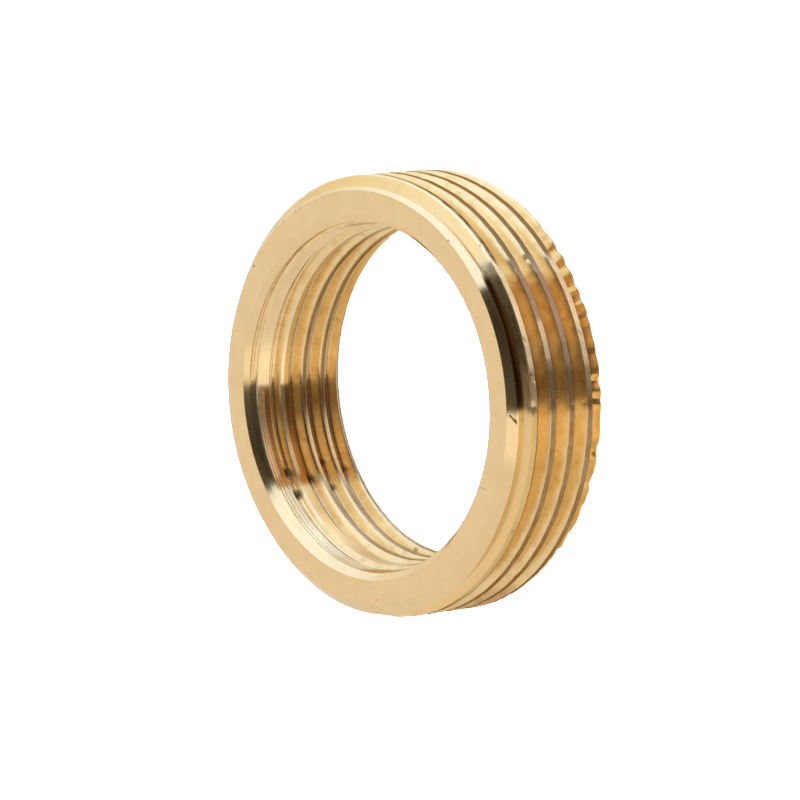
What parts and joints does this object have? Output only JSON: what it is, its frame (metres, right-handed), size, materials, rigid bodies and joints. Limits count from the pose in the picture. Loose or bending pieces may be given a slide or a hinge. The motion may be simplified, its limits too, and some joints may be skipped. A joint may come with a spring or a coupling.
{
  "type": "reducing bushing",
  "caption": "Short hexagon-less brass reducing bushing: a ring with a male pipe thread outside, a female pipe thread inside, a chamfered front edge and a countersunk mouth.",
  "frame": {"origin": "centre of the rear end face, which the ring stands on", "axes": "+Z along the ring's axis, from the rear face up to the front face with the wide chamfer and the countersunk mouth"},
  "size_m": [0.0414, 0.0414, 0.0111],
  "materials": {
    "brass": "polished threads and chamfers, satin end faces"
  },
  "bodies": {
    "root": {"reducing_bushing": "brass"}
  },
  "joints": []
}
